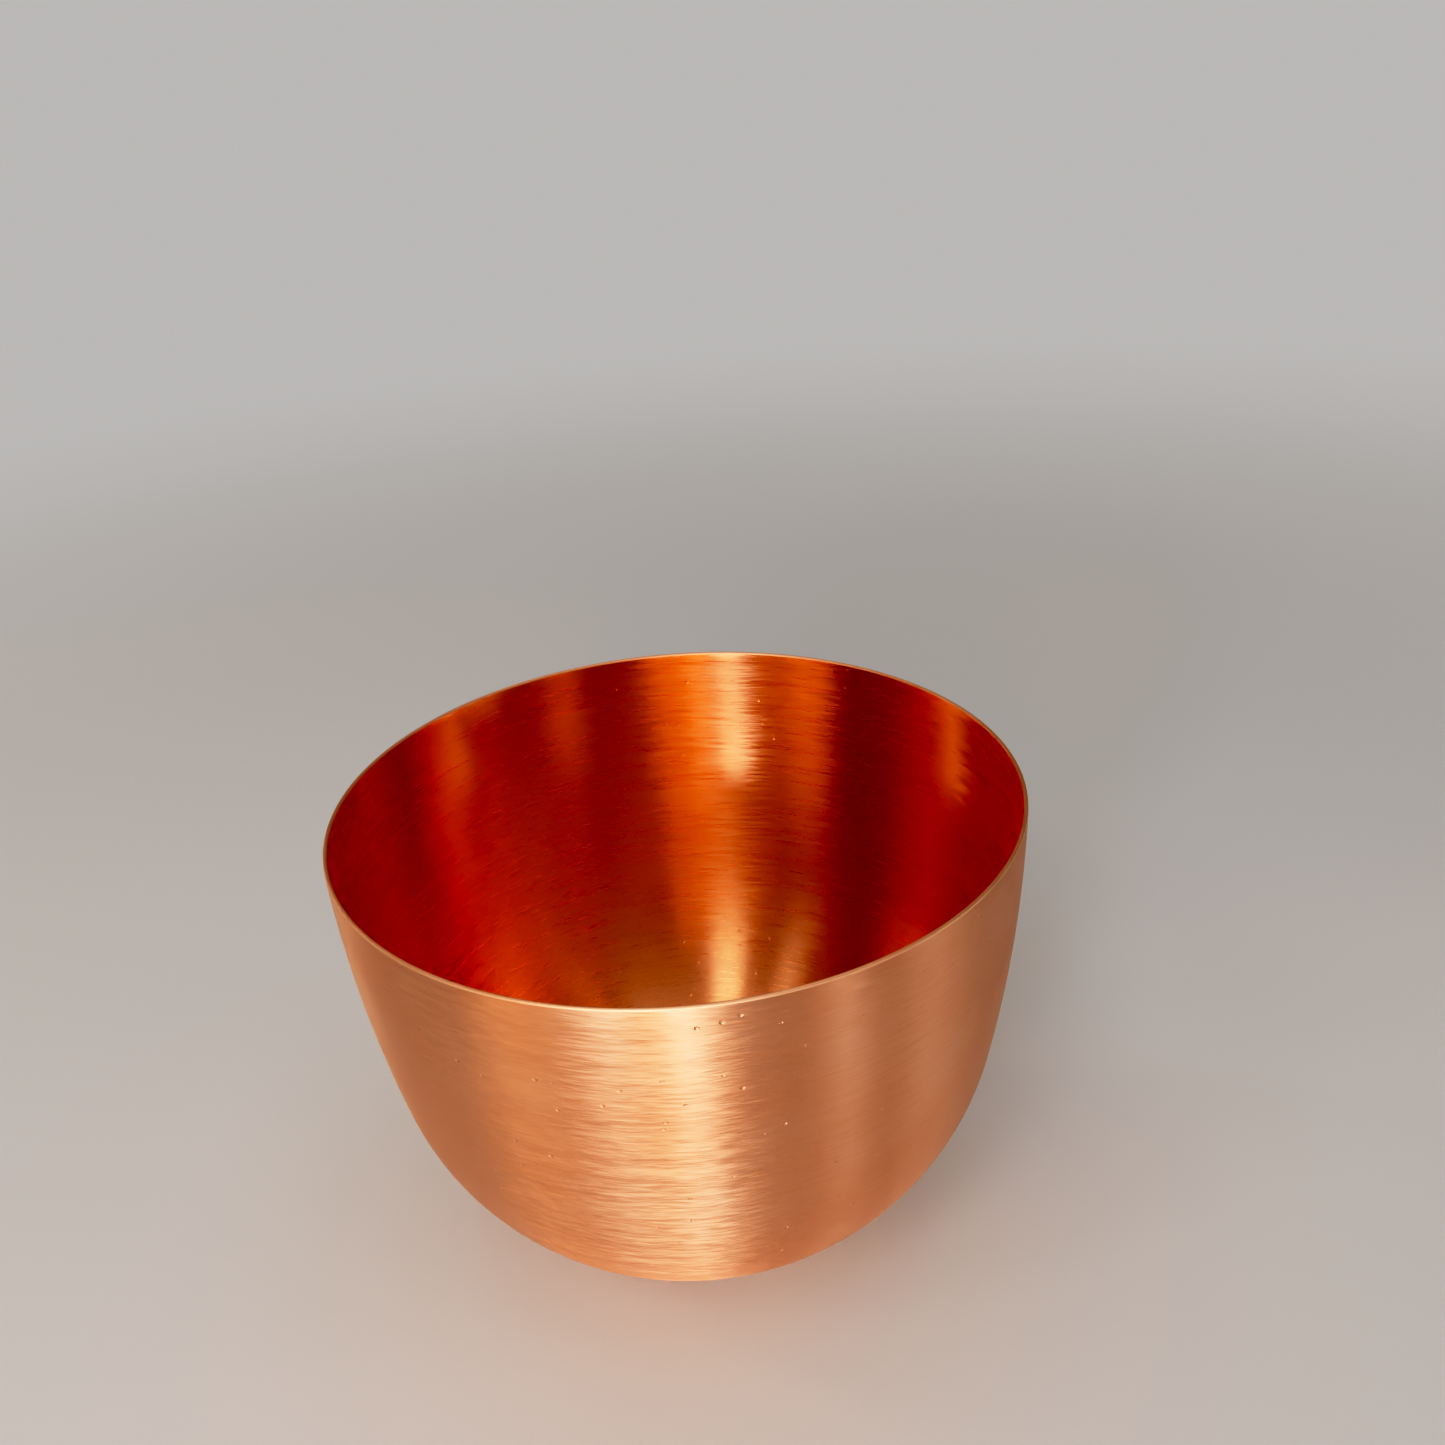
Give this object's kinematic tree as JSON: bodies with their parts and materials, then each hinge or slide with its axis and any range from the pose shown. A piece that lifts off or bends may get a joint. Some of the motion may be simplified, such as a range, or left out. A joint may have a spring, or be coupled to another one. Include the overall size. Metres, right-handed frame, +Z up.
{
  "type": "copper bowl",
  "caption": "Deep, round-bottomed bowl spun from thin copper sheet, satin brushed inside and out, with a plain rounded rim and a small flat spot to stand on.",
  "frame": {"origin": "centre of the flat spot that the bowl stands on", "axes": "+Z up along the bowl's axis, out of its mouth; +X and +Y are any two directions across the mouth, since the bowl is round"},
  "size_m": [0.127, 0.127, 0.09],
  "materials": {
    "copper": "bare copper, satin, with fine brushed lines running round the bowl's axis inside and out"
  },
  "bodies": {
    "root": {"bowl_shell": "copper"}
  },
  "joints": []
}
